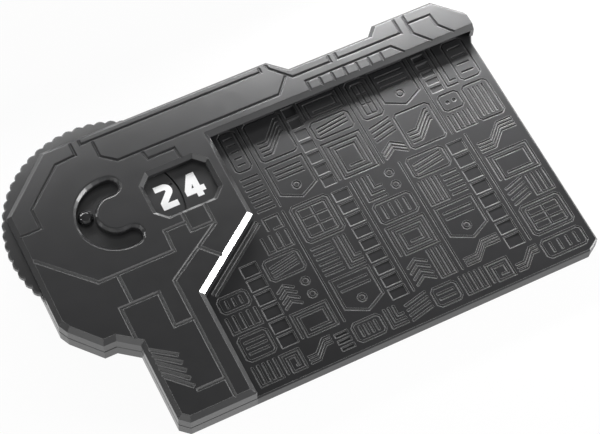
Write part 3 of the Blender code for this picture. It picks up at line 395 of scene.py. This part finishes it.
def window_bevels(tree, normal):
    """One on the window's front sill and on its back left corner."""
    middle = joint_place("tens_turn") + Vector((WINDOW_MIDDLE_RADIUS, 0, 0))
    middle.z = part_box("upper_housing")[1].z
    gap = calculate_vector(tree, "DISTANCE", spot_on_object(tree), middle)
    near = calculate(tree, "LESS_THAN", gap, WINDOW_REACH)
    sill = calculate(tree, "COMPARE", normal["Y"], SILL_TURN, WALL_RISE_BAND)
    corner = calculate(tree, "COMPARE", normal["Y"], CORNER_TURN, WALL_RISE_BAND)
    faces_right = calculate(tree, "GREATER_THAN", normal["X"], 0.0)
    return product(tree, near, largest(tree, sill, product(tree, corner, faces_right)))


def pad_gloss(tree):
    """Share of the gloss that the pad keeps: less towards the front, where cards rub it."""
    place = split(tree, spot_on_object(tree))
    low = calculate(tree, "LESS_THAN", place["Z"], PAD_HIGH)
    right = calculate(tree, "GREATER_THAN", place["X"], PAD_LEFT)
    dull = ramp(tree, place["Y"], PAD_DULL_FROM_Y, PAD_DULL_FULL_Y, PAD_DULL_LEAST, PAD_DULL_MOST)
    return calculate(tree, "SUBTRACT", 1.0, product(tree, low, right, dull))


def shell_gloss_and_painted_highlights(tree, shader, tone, roundable):
    """Takes gloss from sloped walls, the rims of flat tops and the pad, and paints a pale highlight into
    the colour of walls and rims.
    """
    normal = split(tree, flat_normal(tree))
    rims = painted_rim_highlights(tree, roundable)
    lines = calculate(tree, "COMPARE", normal["Z"], LINE_WALL_RISE, WALL_RISE_BAND)
    relief = calculate(tree, "COMPARE", normal["Z"], RELIEF_WALL_RISE, WALL_RISE_BAND)
    matt = largest(tree, lines, relief, window_bevels(tree, normal), rims)
    kept = pad_gloss(tree)
    for name, level in (("Coat Weight", PLASTIC_COAT), ("Specular IOR Level", PLASTIC_SPECULAR)):
        gloss = ramp(tree, matt, 0.0, 1.0, level, level * WALL_GLOSS_SHARE)
        feed(tree, shader.inputs[name], product(tree, gloss, kept))
    painted_line_highlight = product(tree, lines, LINE_HIGHLIGHT_SHARE)
    painted_relief_highlight = product(tree, relief, RELIEF_HIGHLIGHT_SHARE)
    walls = product(tree, largest(tree, painted_line_highlight, painted_relief_highlight), painted_highlight_share(tree))
    # paints a pale highlight tone into the colour of the walls and rims
    return blend(tree, "RGBA", largest(tree, walls, rims), tone, (*PAINTED_HIGHLIGHT_TONE, 1.0))


def moulded_plastic(name, shade, roughness, edge, with_painted_highlights=False):
    """Semi-gloss black plastic: fine spark-eroded grain, and faint flow marks in gloss and shade."""
    material, tree, shader = new_material(name)
    dark = [FLOW_DARK * level for level in shade]
    light = [FLOW_LIGHT * level for level in shade]
    tone = mottle_colour(tree, noise(tree, FLOW_SIZE, FLOW_DETAIL), dark, light)
    patches = noise(tree, PATCH_SIZE, PATCH_DETAIL)
    rough = mottle(tree, patches, roughness - PATCH_SPREAD, roughness + PATCH_SPREAD)
    feed(tree, shader.inputs["Roughness"], rough)
    shader.inputs["Specular IOR Level"].default_value = PLASTIC_SPECULAR
    shader.inputs["Coat Weight"].default_value = PLASTIC_COAT
    shader.inputs["Coat Roughness"].default_value = COAT_ROUGHNESS
    if with_painted_highlights:
        roundable = off_thin_roof(tree)
        normal = flat_slot_rim(tree, rounded_normal(tree, product(tree, roundable, edge)))
        # paints pale highlights into the colour of the shells' rims and walls
        tone = shell_gloss_and_painted_highlights(tree, shader, tone, roundable)
    else:
        normal = rounded_normal(tree, edge)
    feed(tree, shader.inputs["Base Color"], tone)
    add_grain(tree, shader, PLASTIC_GRAIN_SIZE, PLASTIC_GRAIN_DETAIL, PLASTIC_GRAIN_STRENGTH, normal)
    return material


def steel(name, shade, roughness):
    """Plated steel with fine mottling in its brightness and gloss."""
    material, tree, shader = new_material(name)
    spots = noise(tree, STEEL_MOTTLE_SIZE, STEEL_MOTTLE_DETAIL)
    dark = [STEEL_DARK * level for level in shade]
    feed(tree, shader.inputs["Base Color"], mottle_colour(tree, spots, dark, shade))
    rough = mottle(tree, spots, roughness, roughness + STEEL_ROUGHNESS_SPREAD)
    feed(tree, shader.inputs["Roughness"], rough)
    shader.inputs["Metallic"].default_value = 1.0
    add_fine_grain(tree, shader, SCREW_EDGE)
    return material


def printed_paint(name):
    """White screen print with slight unevenness."""
    material, tree, shader = new_material(name)
    spots = noise(tree, PAINT_MOTTLE_SIZE, PAINT_MOTTLE_DETAIL)
    feed(tree, shader.inputs["Base Color"], mottle_colour(tree, spots, PAINT_DARK, PAINT_LIGHT))
    shader.inputs["Roughness"].default_value = PAINT_ROUGHNESS
    add_fine_grain(tree, shader, PRINT_THICKNESS)
    return material


def finish_nodes():
    """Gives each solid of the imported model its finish."""
    # the shells get painted highlights on their rims and walls
    shell = moulded_plastic("shell_plastic", SHELL_SHADE, SHELL_ROUGHNESS, SHELL_EDGE, with_painted_highlights=True)
    dial = moulded_plastic("dial_plastic", DIAL_SHADE, DIAL_ROUGHNESS, DIAL_EDGE)
    peg = moulded_plastic("peg_plastic", PEG_SHADE, PEG_ROUGHNESS, PEG_EDGE)
    zinc = steel("zinc_steel", ZINC_SHADE, ZINC_ROUGHNESS)
    spring = steel("spring_steel", SPRING_SHADE, SPRING_ROUGHNESS)
    finishes = {
        "lower_tray": shell,
        "upper_housing": shell,
        "units_wheel": dial,
        "tens_disc": dial,
        "finger_peg": peg,
    }
    for name, item in frame["nodes"].items():
        plain = spring if name.endswith("_spring") else zinc
        item.data.materials.clear()
        item.data.materials.append(finishes.get(name, plain))


def add_object(name, shape, material):
    data = bpy.data.meshes.new(name)
    shape.to_mesh(data)
    shape.free()
    data.materials.append(material)
    item = bpy.data.objects.new(name, data)
    bpy.context.collection.objects.link(item)
    return item


def arc(centre, radius, start, end):
    """Points along an arc, from one angle to the other in degrees."""
    count = max(2, round(abs(end - start) / ARC_STEP) + 1)
    turns = [math.radians(start + (end - start) * index / (count - 1)) for index in range(count)]
    return [(centre[0] + radius * math.cos(turn), centre[1] + radius * math.sin(turn)) for turn in turns]


def loop(left, low, right, high, bend):
    """Closed rounded box, as a line that ends where it starts."""
    points = [(right, (low + high) / 2)]
    points += arc((right - bend, high - bend), bend, 0, 90)
    points += arc((left + bend, high - bend), bend, 90, 180)
    points += arc((left + bend, low + bend), bend, 180, 270)
    points += arc((right - bend, low + bend), bend, 270, 360)
    return points + points[:1]


def half_turn(lines, width, height):
    return [[(width - x, height - y) for x, y in line] for line in lines]


def digit_lines():
    """Middle lines of the strokes of each digit, from the lower left corner of its box.

    Plain numbers are shares of the box's width or height.
    """
    width, height, bend = DIGIT_WIDTH, DIGIT_HEIGHT, DIGIT_BEND
    left = low = DIGIT_STROKE / 2
    right, top = width - left, height - low
    middle = height / 2
    waist = 0.56 * height
    bowl_top = arc((right - bend, top - bend), bend, 90, -30)
    bowl_low = arc((right - bend, low + bend), bend, 30, -90)
    deep_bowl = arc((right - bend, low + bend), bend, 0, -90)
    six = [
        loop(left, low, right, waist, bend),
        [(left, middle), *arc((left + bend, top - bend), bend, 180, 90), (0.95 * width, top)],
    ]
    return {
        0: [loop(left, low, right, top, bend)],
        1: [
            [(0.85 * width, 0), (0.85 * width, height)],
            [(0.36 * width, 0.76 * height), (0.85 * width, top)],
        ],
        2: [
            [(0, top), *bowl_top, (left, 0.27 * height), (left, 0)],
            [(left, low), (width, low)],
        ],
        3: [
            [(0.32 * width, top), *bowl_top, (0.45 * width, middle)],
            [(0.45 * width, middle), *bowl_low, (0, low)],
        ],
        4: [
            [(0.72 * width, 0), (0.72 * width, height)],
            [(-0.07 * width, 0.285 * height), (1.15 * width, 0.285 * height)],
            [(0.635 * width, 0.948 * height), (0.095 * width, 0.329 * height)],
        ],
        5: [
            [(0.96 * width, top), (left, top), (left, 0.55 * height), (0.5 * width, 0.55 * height)],
            [(left, 0.55 * height), *arc((right - bend, waist - bend), bend, 90, 0), *deep_bowl, (0, low)],
        ],
        6: six,
        7: [
            [(0, top), (width, top)],
            [(right, top), (0.36 * width, 0)],
        ],
        8: [
            loop(left, low, right, waist, bend),
            loop(left, waist - 0.1 * height, right, top, bend),
        ],
        9: half_turn(six, width, height),
    }


def crossing(start, along, other, other_along):
    """Point where two lines meet, or the other line's start where they run parallel."""
    cross = along.x * other_along.y - along.y * other_along.x
    if abs(cross) < PARALLEL_LIMIT * along.length * other_along.length:
        return other
    gap = other - start
    return start + along * ((gap.x * other_along.y - gap.y * other_along.x) / cross)


def stroke_sides(line, width):
    """Left and right edge of a stroke along a line, with mitred turns."""
    path = [Vector(line[0])]
    for point in line[1:]:
        if (Vector(point) - path[-1]).length > SAME_POINT_SHARE * width:
            path.append(Vector(point))
    sides = ([], [])
    for index, point in enumerate(path):
        before = path[index] - path[index - 1] if index else path[1] - path[0]
        after = path[index + 1] - point if index + 1 < len(path) else before
        for side, sign in zip(sides, (1, -1)):
            first = Vector((before.y, -before.x)).normalized() * width / 2 * sign
            second = Vector((after.y, -after.x)).normalized() * width / 2 * sign
            side.append(crossing(point + first, before, point + second, after))
    return sides


def print_digit(dial, number, radius, angle, centre, base, material, body):
    """One digit as a thin print that lies on its dial, upright where the angle is zero."""
    shape = bmesh.new()
    middle = Vector((DIGIT_WIDTH / 2, DIGIT_HEIGHT / 2))
    turn = Matrix.Rotation(math.radians(angle), 3, "Z")
    for layer, line in enumerate(digit_lines()[number]):
        lift = Vector((0, 0, base + PRINT_LAYER * layer))
        rows = []
        for pair in zip(*stroke_sides(line, DIGIT_STROKE)):
            flat = [point - middle for point in pair]
            spots = [centre + turn @ Vector((radius + p.x, p.y, 0)) + lift for p in flat]
            rows.append([shape.verts.new(spot) for spot in spots])
        for first, second in zip(rows, rows[1:]):
            shape.faces.new((first[1], first[0], second[0], second[1]))
    bmesh.ops.recalc_face_normals(shape, faces=shape.faces)
    shape.normal_update()
    bmesh.ops.reverse_faces(shape, faces=[face for face in shape.faces if face.normal.z < 0])
    item = add_object(f"{dial}_print_{number}", shape, material)
    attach(item, body)


def print_digits(material):
    """Prints all the digits, with the one that the window shows at angle zero."""
    centre = joint_place("tens_turn")
    centre.z = 0
    for dial, body, node, radius, shown, count, pitch in (
        ("tens", "tens_dial", "tens_disc", TENS_PRINT_RADIUS, TENS_SHOWN, TENS_COUNT, TENS_PITCH),
        ("units", "units_dial", "units_wheel", UNITS_PRINT_RADIUS, UNITS_SHOWN, UNITS_COUNT, UNITS_PITCH),
    ):
        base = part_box(node)[1].z + PRINT_THICKNESS
        for number in range(count):
            angle = (shown - number) * pitch
            print_digit(dial, number, radius, angle, centre, base, material, body)


def floor_material():
    """White that glows for the camera and, dimmer, in reflections, so that it shows evenly white."""
    material, tree, shader = new_material("floor_white")
    shader.inputs["Base Color"].default_value = (FLOOR_TONE, FLOOR_TONE, FLOOR_TONE, 1.0)
    shader.inputs["Roughness"].default_value = FLOOR_ROUGHNESS
    rays = tree.nodes.new("ShaderNodeLightPath").outputs
    glow = tree.nodes.new("ShaderNodeEmission")
    level = ramp(tree, rays["Is Glossy Ray"], 0.0, 1.0, 1.0, FLOOR_REFLECTED_LEVEL)
    feed(tree, glow.inputs["Strength"], level)
    seen = largest(tree, rays["Is Camera Ray"], rays["Is Glossy Ray"])
    mix = tree.nodes.new("ShaderNodeMixShader")
    feed(tree, mix.inputs["Fac"], product(tree, seen, FLOOR_GLOW_SHARE))
    feed(tree, mix.inputs[1], shader.outputs["BSDF"])
    feed(tree, mix.inputs[2], glow.outputs["Emission"])
    feed(tree, tree.nodes["Material Output"].inputs["Surface"], mix.outputs["Shader"])
    return material


def make_floor():
    """White table that shows as a plain white ground and keeps a faint shadow."""
    shape = bmesh.new()
    half = FLOOR_SIZE / 2
    corners = ((-half, -half), (half, -half), (half, half), (-half, half))
    shape.faces.new([shape.verts.new((x, y, -FLOOR_DROP)) for x, y in corners])
    floor = add_object("floor", shape, floor_material())


def make_world():
    """Pale room with a dim ceiling; white where the camera looks past the floor."""
    world = bpy.data.worlds.new("room")
    bpy.context.scene.world = world
    world.use_nodes = True
    tree = world.node_tree
    background = tree.nodes["Background"]
    background.inputs["Color"].default_value = (1.0, 1.0, 1.0, 1.0)
    way = tree.nodes.new("ShaderNodeTexCoord").outputs["Generated"]
    side = calculate_vector(tree, "DOT_PRODUCT", way, ROOM_BRIGHT_SIDE)
    wall = ramp(tree, side, ROOM_SIDE_START, ROOM_SIDE_FULL, ROOM_DARK_WALL, ROOM_BRIGHT_WALL)
    rise = split(tree, way)["Z"]
    room = ramp(tree, rise, ROOM_WALL_TOP, ROOM_CEILING_START, wall, ROOM_CEILING_LEVEL, "SMOOTHSTEP")
    seen = tree.nodes.new("ShaderNodeLightPath").outputs["Is Camera Ray"]
    feed(tree, background.inputs["Strength"], blend(tree, "FLOAT", seen, room, 1.0))


def direction(azimuth, elevation):
    """Unit vector towards a compass direction, clockwise from the rail's side, and height."""
    turn, rise = math.radians(azimuth), math.radians(elevation)
    return Vector((math.sin(turn) * math.cos(rise), math.cos(turn) * math.cos(rise), math.sin(rise)))


def panel_lamp(name, place, target, length, height, radiance):
    """Rectangular lamp that faces its target; its power follows from its size and brightness."""
    data = bpy.data.lights.new(name, "AREA")
    data.shape = "RECTANGLE"
    data.size = length
    data.size_y = height
    data.energy = radiance * math.pi * length * height
    lamp = bpy.data.objects.new(name, data)
    lamp.location = place
    lamp.rotation_euler = (Vector(target) - Vector(place)).to_track_quat("-Z", "Y").to_euler()
    lamp.visible_camera = False
    bpy.context.collection.objects.link(lamp)
    return lamp


def far_lamp(name, azimuth, elevation, width, height, radiance):
    place = direction(azimuth, elevation) * FAR_DISTANCE
    sizes = [2 * FAR_DISTANCE * math.tan(math.radians(angle) / 2) for angle in (width, height)]
    return panel_lamp(name, place, (0, 0, 0), *sizes, radiance)


def make_lamps():
    for index, (middle, length, radiance) in enumerate(KEY_STRETCHES):
        place, target = (middle, KEY_DISTANCE, KEY_RISE), (middle, 0, 0)
        lamp = panel_lamp(f"back_strip_{index + 1}", place, target, length, KEY_HEIGHT, radiance)
        lamp.data.spread = math.radians(KEY_SPREAD)
    for setting in FAR_LAMPS:
        far_lamp(*setting)
    far_lamp(*FILL_LAMP).visible_glossy = False


def make_camera():
    data = bpy.data.cameras.new("photo_camera")
    data.lens = CAMERA_LENS
    data.sensor_width = SENSOR_WIDTH
    data.clip_start = CAMERA_NEAR
    camera = bpy.data.objects.new("photo_camera", data)
    camera.location = CAMERA_PLACE
    facing = (Vector(CAMERA_TARGET) - camera.location).to_track_quat("-Z", "Y").to_matrix()
    camera.rotation_euler = (facing @ Matrix.Rotation(math.radians(CAMERA_ROLL), 3, "Z")).to_euler()
    bpy.context.collection.objects.link(camera)
    bpy.context.scene.camera = camera


def main():
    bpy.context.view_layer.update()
    finish_nodes()
    print_digits(printed_paint("digit_paint"))
    make_floor()
    make_world()
    make_lamps()
    make_camera()
    bpy.context.scene.view_settings.view_transform = "Standard"


main()
